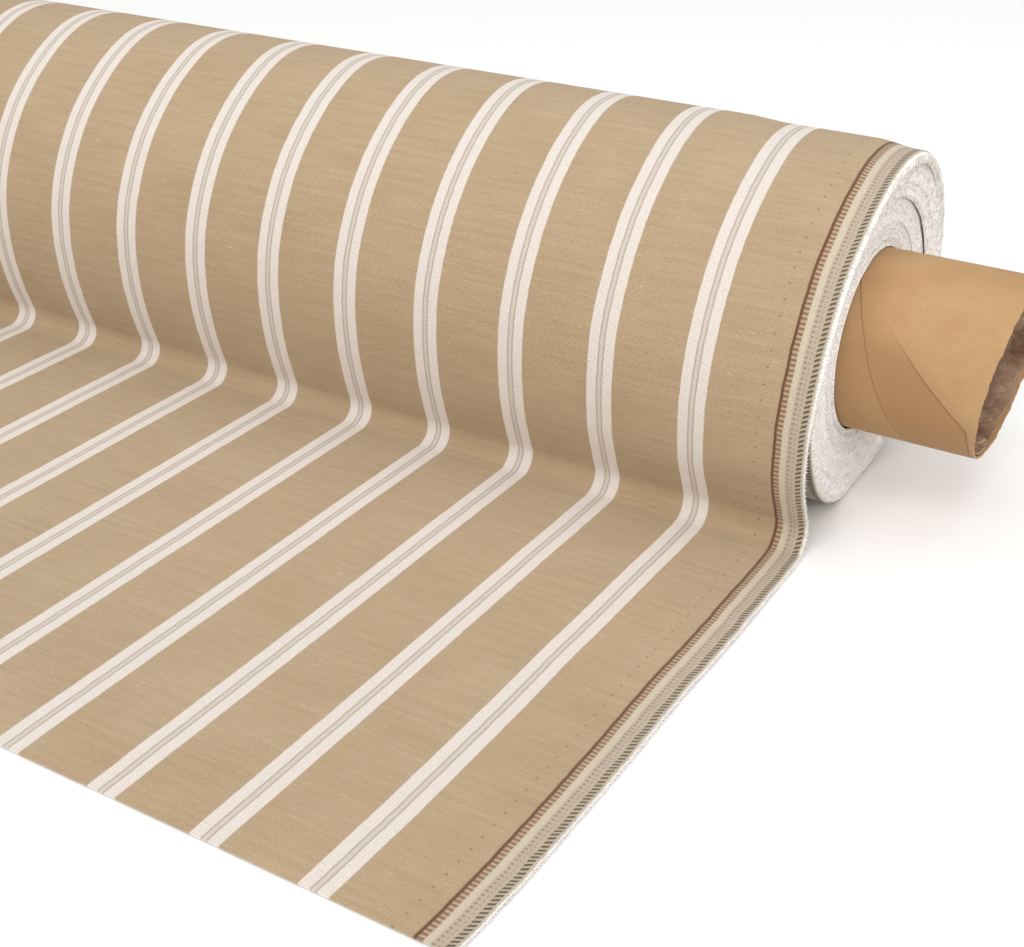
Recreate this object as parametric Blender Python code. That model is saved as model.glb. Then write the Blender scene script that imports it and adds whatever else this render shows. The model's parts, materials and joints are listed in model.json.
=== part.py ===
# Fabric bolt: a striped cotton cloth wound on a spirally wound kraft tube.
# The tube and the tight turns roll as one. The loose outer turns and the free end stay where they lie.
# Metres, +Z up. X runs along the roll, the free end reaches towards -Y, the ground is at Z = 0.
import math

import bmesh
import bpy
import numpy as np

# Cloth
cloth_width = 1.3854
cloth_thickness = 0.0005
tail_reach = 0.256          # from the roll's axis to the cut edge, along the ground

# Tube, from the bore outwards
tube_overhang = 0.0403      # past the cloth at each end
bore_radius = 0.026
liner_ply = 0.0005
inner_core_ply = 0.0009
outer_core_ply = 0.0009
face_ply = 0.0008

# Tape that starts the first turn
tape_inset = 0.0927         # from the cloth's edge to the tape's end
tape_width = 0.012
tape_thickness = 0.0002

# Tight turns, round, about the tube
wound_turns = 29
wound_air = 0.0001          # between one tight turn and the next
wound_start_angle = 0.0     # degrees from +Y, rising towards +Z

# Loose outer turns, which start where the tight turns end and finish at the fold in front
loose_whole_turns = 7
loose_air = 0.00016         # between one loose turn and the next, under the roll
fold_angle = 221.0          # degrees, where the outermost turn leaves the roll
slack_angles = (0, 22, 45, 72, 90, 108, 125, 150, 170, 184, 200, 222, 240, 255, 270, 285, 300, 330)
slack_depths = (0.0079, 0.0094, 0.0109, 0.0112, 0.0092, 0.0047, 0.0018, 0.0008, 0.0023,
                0.0040, 0.0044, 0.0039, 0.0032, 0.0022, 0.0000, 0.0022, 0.0036, 0.0059)
fold_bulge = 0.010          # how far the outermost turn swings out just above the fold
fold_bulge_start = 180.0    # degrees
fold_bulge_power = 1.8

# Clearances between pieces
seat_gap = 0.0003
turning_gap = 0.0004        # between the tight turns and the loose ones, all the way round

# Facets
tube_facets = 32
loose_facets = 48
fold_facets = 8
tail_facets = 6


def clear_scene():
    for obj in list(bpy.data.objects):
        bpy.data.objects.remove(obj, do_unlink=True)


def make_material(name, colour, roughness):
    material = bpy.data.materials.new(name)
    material.use_nodes = True
    shader = material.node_tree.nodes["Principled BSDF"]
    shader.inputs["Base Color"].default_value = (*colour, 1)
    shader.inputs["Roughness"].default_value = roughness
    shader.inputs["Metallic"].default_value = 0
    return material


def make_empty(name, location):
    empty = bpy.data.objects.new(name, None)
    empty.location = location
    bpy.context.scene.collection.objects.link(empty)
    return empty


def extrude_strip(name, outer, inner, length, material, parent, closed=False):
    """A closed solid from a strip of quads between two rows of (y, z) points, extruded along X."""
    bm = bmesh.new()
    rows = [[bm.verts.new((-length / 2, y, z)) for y, z in row] for row in (outer, inner)]
    count = len(outer)
    for i in range(count if closed else count - 1):
        j = (i + 1) % count
        bm.faces.new((rows[0][i], rows[0][j], rows[1][j], rows[1][i]))
    extruded = bmesh.ops.extrude_face_region(bm, geom=bm.faces[:])["geom"]
    moved = [item for item in extruded if isinstance(item, bmesh.types.BMVert)]
    bmesh.ops.translate(bm, verts=moved, vec=(length, 0, 0))
    bmesh.ops.recalc_face_normals(bm, faces=bm.faces[:])
    mesh = bpy.data.meshes.new(name)
    bm.to_mesh(mesh)
    bm.free()
    mesh.materials.append(material)
    mesh.shade_smooth()
    mesh.set_sharp_from_angle(angle=math.radians(35))
    obj = bpy.data.objects.new(name, mesh)
    obj.parent = parent
    bpy.context.scene.collection.objects.link(obj)
    return obj


def polar(radius, angle):
    return np.column_stack([radius * np.cos(angle), radius * np.sin(angle)])


def offset_path(points, distance):
    """The path moved sideways: each point along the mean normal of its two segments, mitred."""
    along = np.diff(points, axis=0)
    along /= np.linalg.norm(along, axis=1)[:, None]
    before = np.vstack([along[:1], along])
    after = np.vstack([along, along[-1:]])
    tangent = before + after
    tangent /= np.linalg.norm(tangent, axis=1)[:, None]
    normal = np.column_stack([-tangent[:, 1], tangent[:, 0]])
    mitre = (tangent * after).sum(axis=1)
    return points + normal * (distance / mitre)[:, None]


def smooth_periodic(angle, stations, values):
    """A cubic through the values at the stations, in degrees, that closes after a full turn."""
    stations = np.asarray(stations, float)
    values = np.asarray(values, float)
    count = len(stations)
    angle = np.mod(angle - stations[0], 360) + stations[0]
    i = np.clip(np.searchsorted(stations, angle, side="right") - 1, 0, count - 1)
    far = np.concatenate([[stations[-1] - 360], stations, [stations[0] + 360, stations[1] + 360]])
    ends = np.concatenate([values[-1:], values, values[:2]])
    before, here, there, beyond = (far[i + k] for k in range(4))
    v0, v1, v2, v3 = (ends[i + k] for k in range(4))
    t = (angle - here) / (there - here)
    slope1 = (v2 - v0) / (there - before) * (there - here)
    slope2 = (v3 - v1) / (beyond - here) * (there - here)
    return ((2 * t**3 - 3 * t**2 + 1) * v1 + (t**3 - 2 * t**2 + t) * slope1
            + (3 * t**2 - 2 * t**3) * v2 + (t**3 - t**2) * slope2)


def make_tube(material_of, parent):
    """Four plies, one round the next."""
    plies = (("tube_liner_ply", liner_ply, "liner"), ("tube_inner_core_ply", inner_core_ply, "core"),
             ("tube_outer_core_ply", outer_core_ply, "core"), ("tube_face_ply", face_ply, "kraft"))
    length = cloth_width + 2 * tube_overhang
    angle = np.linspace(0, 2 * np.pi, tube_facets, endpoint=False)
    inner_radius = bore_radius
    for name, thickness, look in plies:
        outer = polar(inner_radius + thickness, angle)
        inner = polar(inner_radius, angle)
        extrude_strip(name, outer, inner, length, material_of[look], parent, closed=True)
        inner_radius += thickness + seat_gap


def make_start_tape(inner_radius, material, parent):
    """A thin strip between the tube and the first turn, centred on the first turn's start."""
    step = 2 * math.pi / tube_facets
    half_count = tape_width / (2 * inner_radius * step)
    station = np.array([-half_count, 0, half_count])
    angle = math.radians(wound_start_angle) + station * step
    outer = polar(inner_radius + tape_thickness, angle)
    inner = polar(inner_radius, angle)
    extrude_strip("start_tape", outer, inner, cloth_width - 2 * tape_inset, material, parent)


def make_wound_cloth(first_radius, material, parent):
    """The tight turns: a spiral whose radius grows each turn by the cloth and the air between."""
    count = round(wound_turns * tube_facets)
    turn = np.arange(count + 1) / tube_facets
    angle = math.radians(wound_start_angle) + 2 * np.pi * turn
    radius = first_radius + (cloth_thickness + wound_air) * turn
    outer = polar(radius + cloth_thickness, angle)
    inner = polar(radius, angle)
    extrude_strip("wound_cloth", outer, inner, cloth_width, material, parent)


def loose_path(clear_radius):
    """The face side of the loose turns and the fold, as (y, z) about the roll's axis, from inside out.

    The first turn hugs the tight turns until it is under the roll. From there each turn's radius is
    a share of the way to the envelope, the share growing steadily to 1 at the fold. The envelope is
    a circle through the stacked turns plus the slack. Under the roll each turn is pressed flat on
    the one below, and nowhere is a turn nearer than one layer to the turn inside it.
    Also returns the height of the roll's axis.
    """
    turn_count = loose_whole_turns + (fold_angle - wound_start_angle) / 360
    growing_turns = turn_count - (270 - wound_start_angle) / 360
    from_fold = np.arange(round(turn_count * loose_facets), -1, -1) / loose_facets
    degrees = fold_angle - 360 * from_fold
    first = clear_radius + cloth_thickness
    layer = cloth_thickness + loose_air
    spread = growing_turns * layer + smooth_periodic(degrees, slack_angles, slack_depths)
    radius = first + spread * np.maximum(1 - from_fold / growing_turns, 0)

    below_to_fold = (fold_angle + 90) / 360
    axis_height = first + layer * (growing_turns - below_to_fold)
    downward = np.maximum(-np.sin(np.radians(degrees)), 0.5)
    radius = np.minimum(radius, (axis_height - layer * np.floor(from_fold)) / downward)
    for i in range(loose_facets, len(radius)):
        radius[i] = max(radius[i], radius[i - loose_facets] + layer)
    near_fold = np.clip((degrees - fold_bulge_start) / (fold_angle - fold_bulge_start), 0, 1)
    radius += fold_bulge * near_fold**fold_bulge_power
    turns = polar(radius, np.radians(degrees))

    # The fold is an arc that leaves the last turn along its tangent and lands flat on the ground.
    tangent = turns[-1] - turns[-2]
    tangent /= np.linalg.norm(tangent)
    normal = np.array([tangent[1], -tangent[0]])
    height = turns[-1][1] + axis_height - cloth_thickness
    fold_radius = height / (1 - normal[1])
    centre = turns[-1] + fold_radius * normal
    start = math.atan2(-normal[1], -normal[0])
    arc_angle = np.linspace(start, -math.pi / 2, fold_facets + 1)[1:]
    return np.vstack([turns, centre + polar(fold_radius, arc_angle)]), axis_height


def main():
    clear_scene()
    material_of = {
        "kraft": make_material("kraft_paper", (0.54, 0.33, 0.16), 0.8),
        "core": make_material("core_board", (0.30, 0.19, 0.12), 0.9),
        "liner": make_material("liner_paper", (0.42, 0.27, 0.16), 0.85),
        "tape": make_material("paper_tape", (0.72, 0.62, 0.42), 0.6),
        "cloth": make_material("striped_cotton", (0.53, 0.40, 0.26), 0.95),
    }

    tube_radius = bore_radius + liner_ply + inner_core_ply + outer_core_ply + face_ply + 3 * seat_gap
    wound_start_radius = tube_radius + seat_gap + tape_thickness + seat_gap
    wound_end_radius = wound_start_radius + wound_turns * (cloth_thickness + wound_air) + cloth_thickness
    path, axis_height = loose_path(wound_end_radius + turning_gap)
    axis_y = (tail_reach - path[:, 0].max()) / 2

    roll_axis = make_empty("roll_axis", (0, axis_y, axis_height))
    make_tube(material_of, roll_axis)
    make_start_tape(tube_radius + seat_gap, material_of["tape"], roll_axis)
    make_wound_cloth(wound_start_radius, material_of["cloth"], roll_axis)

    laid_axis = make_empty("laid_cloth_axis", (0, axis_y, axis_height))
    extrude_strip("loose_turns", path, offset_path(path, cloth_thickness), cloth_width,
                  material_of["cloth"], laid_axis)
    tail_y = np.linspace(path[-1][0] - seat_gap, -tail_reach, tail_facets + 1)
    face = np.column_stack([tail_y, np.full_like(tail_y, cloth_thickness - axis_height)])
    extrude_strip("cloth_tail", face, face - (0, cloth_thickness), cloth_width,
                  material_of["cloth"], laid_axis)


main()
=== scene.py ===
# A fabric bolt: striped cotton on a kraft tube, its free end spread flat in front.
import json
import math

import bpy
import mathutils
import numpy as np
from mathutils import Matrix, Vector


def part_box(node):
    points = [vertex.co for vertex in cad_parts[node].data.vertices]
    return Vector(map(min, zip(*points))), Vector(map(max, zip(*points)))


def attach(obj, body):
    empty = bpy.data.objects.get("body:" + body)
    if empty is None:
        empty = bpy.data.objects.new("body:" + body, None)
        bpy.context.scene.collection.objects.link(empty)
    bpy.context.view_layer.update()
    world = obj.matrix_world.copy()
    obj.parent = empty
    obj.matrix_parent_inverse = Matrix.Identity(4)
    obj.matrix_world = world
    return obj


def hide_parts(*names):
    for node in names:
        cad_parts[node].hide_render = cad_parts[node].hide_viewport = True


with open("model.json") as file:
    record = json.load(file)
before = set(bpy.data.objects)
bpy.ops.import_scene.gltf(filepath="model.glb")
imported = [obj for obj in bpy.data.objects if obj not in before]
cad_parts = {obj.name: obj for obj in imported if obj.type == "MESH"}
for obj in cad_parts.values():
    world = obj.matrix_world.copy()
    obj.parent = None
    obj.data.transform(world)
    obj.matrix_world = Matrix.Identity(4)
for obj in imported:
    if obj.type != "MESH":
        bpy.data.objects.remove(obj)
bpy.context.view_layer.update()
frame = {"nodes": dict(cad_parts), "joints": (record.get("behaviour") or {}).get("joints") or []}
print("stage 1: frame loaded")

# where things are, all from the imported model
rollAxis = np.array(frame["joints"][0]["pos_m"], float)
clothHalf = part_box("wound_cloth")[1].x
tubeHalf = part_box("tube_face_ply")[1].x
tailReach = -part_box("cloth_tail")[0].y + rollAxis[1]
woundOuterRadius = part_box("wound_cloth")[1].y - rollAxis[1]


def buildPiece(name, material, points, quads, uv, triangles=(), sharpAngle=40):
    # a mesh from whole arrays: points, four-cornered faces, one uv per point and three-cornered faces
    triangles = np.reshape(triangles, (-1, 3)).astype(int)
    corners = np.concatenate([quads.ravel(), triangles.ravel()]).astype(np.int32)
    sizes = np.concatenate([np.full(len(quads), 4), np.full(len(triangles), 3)])
    starts = np.concatenate([[0], np.cumsum(sizes)[:-1]]).astype(np.int32)
    mesh = bpy.data.meshes.new(name)
    mesh.vertices.add(len(points))
    mesh.vertices.foreach_set("co", points.astype(np.float32).ravel())
    mesh.loops.add(len(corners))
    mesh.loops.foreach_set("vertex_index", corners)
    mesh.polygons.add(len(sizes))
    mesh.polygons.foreach_set("loop_start", starts)
    mesh.update(calc_edges=True)
    layer = mesh.uv_layers.new(name="lay")
    layer.data.foreach_set("uv", uv[corners].astype(np.float32).ravel())
    mesh.validate()
    mesh.shade_smooth()
    mesh.set_sharp_from_angle(angle=math.radians(sharpAngle))
    mesh.materials.append(material)
    piece = bpy.data.objects.new(name, mesh)
    bpy.context.scene.collection.objects.link(piece)
    return piece


def gridQuads(rows, columns, first=0, closed=False):
    # the four-cornered faces between neighbouring rows and columns of a grid, which may close both ways
    short = 0 if closed else 1
    i, j = np.meshgrid(np.arange(rows - short), np.arange(columns - short), indexing="ij")
    here, after, beside = i * columns, (i + 1) % rows * columns, (j + 1) % columns
    return first + np.stack([here + j, here + beside, after + beside, after + j], axis=-1).reshape(-1, 4)


def closedSheet(name, face, back, uv, material):
    # two grids of points, the face side and the back side, joined round their border
    rows, columns = face.shape[:2]
    count = rows * columns
    top = gridQuads(rows, columns)
    under = gridQuads(rows, columns, count)[:, ::-1]
    index = np.arange(count).reshape(rows, columns)
    border = np.concatenate([index[0, :-1], index[:-1, -1], index[-1, :0:-1], index[:0:-1, 0]])
    after = np.roll(border, -1)
    rim = np.column_stack([border, border + count, after + count, after])
    points = np.concatenate([face.reshape(-1, 3), back.reshape(-1, 3)])
    quads = facingOut(points, np.concatenate([top, under, rim]))
    return buildPiece(name, material, points, quads, np.concatenate([uv.reshape(-1, 2)] * 2))


def facingOut(points, quads):
    # the faces, turned round where the volume that they enclose comes out negative
    a, b, c, d = (points[quads[:, k]] for k in range(4))
    volume = np.einsum("ij,ij->i", a, np.cross(b, c)) + np.einsum("ij,ij->i", a, np.cross(c, d))
    return quads if volume.sum() > 0 else quads[:, ::-1]


def wander(position, wavelength, seed, count=6):
    # a wandering value about 0: several sine waves of nearby lengths and chance phases
    chance = np.random.default_rng(seed)
    waves = wavelength * chance.uniform(0.6, 1.8, count)
    phases = chance.uniform(0, 2 * np.pi, count)
    return np.sin(2 * np.pi * np.asarray(position, float)[..., None] / waves + phases).mean(axis=-1) * 1.6


def smoothStep(value, low, high):
    # 0 below low, 1 above high, and 3t^2 - 2t^3 between
    t = np.clip((value - low) / (high - low), 0, 1)
    return t * t * (3 - 2 * t)


def throughStations(angle, stations, values):
    # a cubic through the values at the stations, in degrees, that closes after a full turn
    stations = np.asarray(stations, float)
    values = np.asarray(values, float)
    angle = np.mod(angle - stations[0], 360) + stations[0]
    i = np.clip(np.searchsorted(stations, angle, side="right") - 1, 0, len(stations) - 1)
    far = np.concatenate([[stations[-1] - 360], stations, [stations[0] + 360, stations[1] + 360]])
    ends = np.concatenate([values[-1:], values, values[:2]])
    before, here, there, beyond = (far[i + k] for k in range(4))
    v0, v1, v2, v3 = (ends[i + k] for k in range(4))
    t = (angle - here) / (there - here)
    slope1 = (v2 - v0) / (there - before) * (there - here)
    slope2 = (v3 - v1) / (beyond - here) * (there - here)
    return ((2 * t**3 - 3 * t**2 + 1) * v1 + (t**3 - 2 * t**2 + t) * slope1
            + (3 * t**2 - 2 * t**3) * v2 + (t**3 - t**2) * slope2)


# the cloth's way round the roll
clothLay = {
    "thickness": 0.0005,
    "woundFirstRadius": 0.0308,  # where the first tight turn lies
    "woundTurns": 29,
    "woundPitch": 0.0006,
    "looseWholeTurns": 7,
    "looseLayer": 0.00066,  # from one loose turn to the next, under the roll
    "turningGap": 0.0004,
    "foldAngle": 221.0,  # degrees, where the outermost turn leaves the roll
    "slackAngles": (0, 22, 45, 72, 90, 108, 125, 150, 170, 184, 200, 222, 240, 255, 270, 285, 300, 330),
    "slackDepths": (0.0079, 0.0094, 0.0109, 0.0112, 0.0092, 0.0047, 0.0018, 0.0008, 0.0023,
                    0.0040, 0.0044, 0.0039, 0.0032, 0.0022, 0.0000, 0.0022, 0.0036, 0.0059),
    "foldBulge": 0.010,  # how far the outermost turn swings out just above the fold
    "foldBulgeStart": 180.0,
    "foldBulgePower": 1.8,
    "steepestShare": 0.5,  # the ground limits turns only where they face at least this far down
    "softeningSteps": 48,  # the turns are smoothed over this share of a turn each way
    "fringeLength": 0.0017,  # loose weft ends past the woven edge
}
wovenEdge = clothHalf - clothLay["fringeLength"]


def looseWay(facets, foldFacets, tailFacets):
    # The cloth's face from the cut edge inwards, as (y, z) about the roll's axis. Outwards the slack turns
    # come nearer and nearer to an envelope of stacked turns plus slack, pressed flat under the roll and
    # never closer than one layer. An arc folds the outermost turn on to the ground, where it runs out flat.
    # Returns points, degrees round the roll and turns from the fold, which are 0 on the flat part.
    k = clothLay
    turnCount = k["looseWholeTurns"] + k["foldAngle"] / 360
    growingTurns = turnCount - 270 / 360
    fromFold = np.arange(round(turnCount * facets), -1, -1) / facets
    degrees = k["foldAngle"] - 360 * fromFold
    first = woundOuterRadius + k["turningGap"] + k["thickness"]
    spread = growingTurns * k["looseLayer"] + throughStations(degrees, k["slackAngles"], k["slackDepths"])
    radius = first + spread * np.maximum(1 - fromFold / growingTurns, 0)
    angle = np.radians(degrees)
    downward = np.maximum(-np.sin(angle), k["steepestShare"])
    radius = np.minimum(radius, (rollAxis[2] - k["looseLayer"] * np.floor(fromFold)) / downward)
    turnIndex = np.arange(len(radius)) // facets
    padded = np.concatenate([radius - turnIndex * k["looseLayer"], np.full(-len(radius) % facets, -1.0)])
    stacked = np.maximum.accumulate(padded.reshape(-1, facets), axis=0).ravel()[:len(radius)]
    radius = stacked + turnIndex * k["looseLayer"]
    reach = facets // k["softeningSteps"]
    softened = np.convolve(np.pad(radius, reach, mode="edge"), np.ones(2 * reach + 1), "valid")
    radius = softened / (2 * reach + 1)
    nearFold = np.clip((degrees - k["foldBulgeStart"]) / (k["foldAngle"] - k["foldBulgeStart"]), 0, 1)
    radius = radius + k["foldBulge"] * nearFold**k["foldBulgePower"]
    turns = radius[:, None] * np.column_stack([np.cos(angle), np.sin(angle)])
    tangent = turns[-1] - turns[-2]
    tangent /= np.linalg.norm(tangent)
    normal = np.array([tangent[1], -tangent[0]])
    foldRadius = (turns[-1][1] + rollAxis[2] - k["thickness"]) / (1 - normal[1])
    centre = turns[-1] + foldRadius * normal
    start = math.atan2(-normal[1], -normal[0])
    arcAngle = np.linspace(start, -math.pi / 2, foldFacets + 1)[1:]
    arc = centre + foldRadius * np.column_stack([np.cos(arcAngle), np.sin(arcAngle)])
    tailY = np.linspace(arc[-1][0], -tailReach, tailFacets + 1)[1:]
    tail = np.column_stack([tailY, np.full(tailFacets, arc[-1][1])])
    way = np.vstack([turns, arc, tail])[::-1]
    flatCount = foldFacets + tailFacets
    degrees = np.concatenate([degrees, np.full(flatCount, k["foldAngle"])])[::-1]
    fromFold = np.concatenate([fromFold, np.zeros(flatCount)])[::-1]
    return way, degrees, fromFold


def arcLength(points):
    # how far along the line each point is
    return np.concatenate([[0], np.cumsum(np.linalg.norm(np.diff(points, axis=0), axis=1))])


def faceNormals(way):
    # a quarter turn from the line's own direction: away from the axis on the roll, up on the flat part
    tangent = -np.gradient(way, axis=0)
    tangent /= np.linalg.norm(tangent, axis=1)[:, None]
    return np.column_stack([tangent[:, 1], -tangent[:, 0]])


edgeLay = {
    "taperAngles": (0, 45, 68, 90, 120, 150, 180, 205, 235, 270, 315),
    "taperDepths": (0.0026, 0.0025, 0.0025, 0.0036, 0.0029, 0.0010, 0.0004, 0.0, 0.0006, 0.0, 0.0012),
    "taperReach": 0.016,  # how far in from the woven edge the turns draw in most
    "taperFull": 0.002,
    "shoulderShare": 0.36,  # this share of it starts further in
    "shoulderReach": (0.046, 0.062),
    "driftAngles": (0, 45, 68, 90, 130, 170, 221, 250, 290, 330),
    "driftDepths": (0.0039, 0.0025, 0.0015, 0.0011, 0.0006, 0.0, 0.0, 0.0040, 0.0056, 0.0046),
    "settledTurns": (0.35, 1.3),  # turns from the fold over which the inner turns' drift takes over
    "innerDrift": 0.0027,  # how far the second turn's edges lie inside the outermost turn's
    "innerDriftGrowth": 0.0022,  # and how much further the innermost slack turn's
    "underDrift": 0.0024,  # and how much further under the roll
    "underShares": (0.35, 0.95),
    "driftWander": 0.0004,
    "wanderRight": 0.31,  # wavelengths along the cloth
    "wanderLeft": 0.37,
    "tightDrift": 0.0053,  # the tight turns' edges lie this far inside
    "tubeDrift": 0.0014,  # and this much more next to the tube,
    "tubeDriftTurns": 8,  # fading over this many turns
    "tightWander": 0.0003,
    "tightRipple": 0.00015,
    "calmTurns": (22, 27),  # the last tight turns' edges run true, to turn freely
    "growingTurns": 6.864,  # slack turns from the fold to where they close on the tight ones
    "frontSwell": 0.0022,  # the front swells near the +x end
    "frontAngles": (128, 176),
    "frontStart": 0.5,
    "waveHeight": 0.0004,  # soft waves on the flat part
    "waveAcross": 0.16,
    "waveAlong": 0.045,
    "waveSkew": 5,
    "flatFrom": (0.0, 0.02),  # arc lengths from the cut edge, as are the next two
    "flatTo": (0.15, 0.19),
    "foldFrom": (0.19, 0.2),
    "puckerHeight": 0.00022,  # puckers along the selvedge
    "puckerLength": 0.0143,
    "puckerReach": 0.010,
    "pullPlaces": (0.0, 0.011, 0.02, 0.03, 0.06, 0.085, 0.1, 0.115, 0.13, 0.15, 0.163, 0.18, 0.19, 0.197,
                   0.203, 0.215, 0.222, 0.229, 0.241, 0.249, 0.257, 0.264, 0.28, 0.3, 0.31, 0.32, 0.336,
                   0.37),
    "pullDepths": (0.0013, 0.0006, 0.0003, 0.0, 0.0, 0.0002, 0.0006, 0.0009, 0.0006, 0.0005, 0.0008,
                   0.0011, 0.0013, 0.0017, 0.0024, 0.0027, 0.0029, 0.0028, 0.0025, 0.0022, 0.0017,
                   0.0014, 0.0013, 0.0012, 0.0009, 0.0007, 0.0004, 0.0),
    "pullReach": 0.09,  # how far in from the woven edge the pull reaches
}


def webDrift(x, along, degrees, fromFold):
    # how far an edge lies inside the free end's: one value round the outermost turn, another that grows
    # inwards, and the sideways pull of the selvedge near the fold
    k = edgeLay
    outermost = throughStations(degrees, k["driftAngles"], k["driftDepths"])
    settled = smoothStep(fromFold, *k["settledTurns"])
    onRoll = smoothStep(fromFold, 0.0, 0.02)
    growth = np.minimum(fromFold / k["growingTurns"], 1)
    under = smoothStep(-np.sin(np.radians(degrees)), *k["underShares"])
    inner = k["innerDrift"] + k["innerDriftGrowth"] * growth
    inner = inner + k["driftWander"] * np.where(x > 0, wander(along, k["wanderRight"], 11),
                                                wander(along, k["wanderLeft"], 12))
    inner = inner + k["underDrift"] * under * (1 - growth)
    pull = np.interp(along, k["pullPlaces"], k["pullDepths"])
    pull = pull * smoothStep(np.abs(x), wovenEdge - k["pullReach"], wovenEdge)
    return pull + onRoll * (outermost * (1 - settled) + inner * settled)


def webPoints(x, stations, lift=0.0):
    # The cloth at sideways places x and stations along it. It draws in near both edges, swells in front
    # near one end and has soft waves and puckers on the flat part.
    way, normal, along, degrees, fromFold = stations
    k = edgeLay
    fromEdge = wovenEdge - np.abs(x)
    nearEdge = ((1 - k["shoulderShare"]) * (1 - smoothStep(fromEdge, k["taperFull"], k["taperReach"]))
                + k["shoulderShare"] * (1 - smoothStep(fromEdge, *k["shoulderReach"])))
    share = np.maximum(1 - fromFold / k["growingTurns"], 0)
    taper = throughStations(degrees, k["taperAngles"], k["taperDepths"])
    taper = taper * smoothStep(fromFold, 0.0, 0.15) * share
    onFront = smoothStep(fromFold, 0.0, 0.05) * (1 - smoothStep(fromFold, 0.0, 0.32))
    swell = k["frontSwell"] * smoothStep(x, k["frontStart"], wovenEdge)
    swell = swell * smoothStep(degrees, *k["frontAngles"])
    flatness = smoothStep(along, *k["flatFrom"]) * (1 - smoothStep(along, *k["flatTo"]))
    waves = k["waveHeight"] * (1 + wander(x, k["waveAcross"], 3))
    waves = waves * (0.5 + 0.5 * np.sin(along / k["waveAlong"] + k["waveSkew"] * x))
    onFlat = 1 - smoothStep(along, *k["foldFrom"])
    phase = 2 * np.pi * along / k["puckerLength"] + 1.7 * wander(along, 0.05, 8)
    pucker = k["puckerHeight"] * (1 + np.sin(phase))
    pucker = pucker * smoothStep(np.abs(x), wovenEdge - k["puckerReach"], wovenEdge)
    moved = lift - taper * nearEdge + swell * onFront + flatness * waves + onFlat * pucker
    drift = webDrift(x, along, degrees, fromFold) * x / wovenEdge
    y = rollAxis[1] + way[..., 0] + normal[..., 0] * moved
    z = rollAxis[2] + way[..., 1] + normal[..., 1] * moved
    return np.stack([x - drift + 0 * y, y, z], axis=-1)


def edgeColumns(spacing, steps):
    # places across the cloth, close together near both woven edges
    near = wovenEdge - np.array(steps) / 1000
    middle = np.linspace(-near[-1], near[-1], max(2, round(2 * near[-1] / spacing)))
    return np.concatenate([-near[:-1], middle, near[-2::-1]])


def webSheet(name, stations, columns, material):
    # the grid of stations and columns as a closed sheet, its back one cloth thickness behind its face
    rows = [part[:, None] for part in stations]
    x, along = columns[None, :], rows[2]
    face = webPoints(x, rows)
    back = webPoints(x, rows, -clothLay["thickness"])
    uv = np.stack([clothHalf - x + 0 * along, along + 0 * x], axis=-1)
    return closedSheet(name, face, back, uv, material)


# the loose weft ends along the woven edges
fringeLay = {
    "pitch": 0.00055,
    "radius": 0.00019,
    "innerPitch": 0.0008,
    "innerRadius": 0.00026,
    "rootIn": 0.0004,  # how far each thread starts inside the cloth
    "rootDepth": 0.3,  # and how deep, as a share of the cloth's thickness
    "lengthSpread": 0.18,
    "sideSpread": 0.0004,
    "lipThickness": 0.0003,
    "lipPitch": 0.0035,
    "lipShares": (0.5, 0.42),  # the lip's share of the threads' length: flat, and what the roll adds
    "curlAngles": (0, 45, 90, 130, 170, 221, 250, 290, 330),
    "curls": (1.35, 1.4, 1.3, 0.8, 0.45, 0.3, 0.9, 1.2, 1.3),  # radians that an end bends towards the axis
    "rollTurns": (0.0, 0.2),  # turns from the fold over which the curl sets in
    "innerTurns": (0.22, 0.4),  # turns from the fold over which the next values take over
    "innerCurl": 2.6,
    "innerBase": 0.0013,  # length of the slack turns' ends: this and a share of the gap they cover
    "innerPerGap": 1.35,
    "firstGapExtra": 0.35,  # the gap behind the outermost turn is wider by this share
    "firstGapTurns": (0.9, 1.2),
    "tightStations": 96,  # per turn, to place the tight turns' ends by
    "tightLipPitch": 0.0055,
    "tightLipShare": 0.92,
    "tightRootDepth": 0.7,
    "tightCurl": 2.4,
    "clearOfTube": 0.0304,  # radius that the tight turns' ends stay outside
}


def curlSpot(root, outward, inward, length, curl, s):
    # a circular arc of that length that starts outward and bends inward by curl
    reach = np.sin(curl * s) / curl * length
    drop = (1 - np.cos(curl * s)) / curl * length
    return root + outward * reach[..., None] + inward * drop[..., None]


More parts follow.
